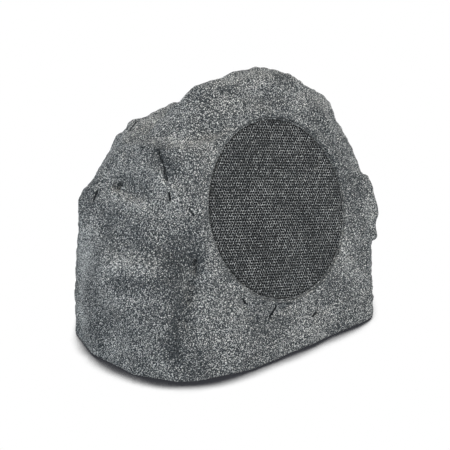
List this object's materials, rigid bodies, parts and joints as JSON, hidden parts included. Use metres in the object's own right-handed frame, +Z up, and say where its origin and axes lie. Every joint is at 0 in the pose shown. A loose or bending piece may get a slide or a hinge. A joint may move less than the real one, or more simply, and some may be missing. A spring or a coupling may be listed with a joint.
{
  "type": "rock shaped garden speaker",
  "caption": "Outdoor loudspeaker in a hollow moulded rock housing, with a round perforated grille let into its leaning front and a cable gland at the back.",
  "frame": {"origin": "under the middle of the rock, on the surface that it stands on", "axes": "+Z up, -Y out of the front with the grille, +X along the rock's width"},
  "size_m": [0.346, 0.281, 0.272],
  "materials": {
    "rock_resin": "rough cast stone look, grey with pale flecks",
    "painted_mesh": "matt paint, flecked grey",
    "black_cloth": "fine open weave",
    "black_foam": "closed-cell foam",
    "zinc_steel": "zinc plated",
    "black_steel": "black powder coat",
    "rubber": "matt",
    "pulp": "pressed paper pulp",
    "copper_winding": "lacquered copper wire",
    "resin_cloth": "resin-treated cloth",
    "ferrite": "sintered ferrite",
    "black_plastic": "moulded",
    "silk": "coated silk",
    "fibre_board": "pressed board",
    "circuit_board": "solder mask",
    "nylon": "moulded nylon",
    "film_case": "epoxy case",
    "ceramic": "ceramic case",
    "red_black_lead": "vinyl insulation",
    "polyester": "loose wadding"
  },
  "bodies": {
    "housing": {"rock_shell": "rock_resin", "grille": "painted_mesh", "grille_cloth": "black_cloth", "driver_gasket": "black_foam", "driver_screws": "zinc_steel", "basket": "black_steel", "surround": "rubber", "spider": "resin_cloth", "front_plate": "zinc_steel", "magnet": "ferrite", "yoke": "zinc_steel", "tweeter_post": "black_plastic", "tweeter_body": "black_plastic", "tweeter_dome": "silk", "terminal_strip": "fibre_board", "base_plate": "black_plastic", "base_gasket": "black_foam", "base_screws": "zinc_steel", "rubber_feet": "rubber", "gland_body": "black_plastic", "gland_seal": "rubber", "gland_cap": "black_plastic", "gland_nut": "black_plastic", "board_posts": "nylon", "crossover_board": "circuit_board", "inductor": "copper_winding", "capacitor": "film_case", "resistor": "ceramic", "terminal_block": "black_plastic", "woofer_lead": "red_black_lead", "tweeter_lead": "red_black_lead", "wadding": "polyester"},
    "moving_cone": {"cone": "pulp", "voice_coil": "copper_winding"}
  },
  "joints": [
    {"name": "cone_travel", "type": "slide", "parent": "housing", "child": "moving_cone", "axis": [0, -0.9397, 0.342], "range_m": [-0.004, 0.004], "stiffness_N_per_m": 1200, "deforming": ["surround", "spider"]}
  ]
}
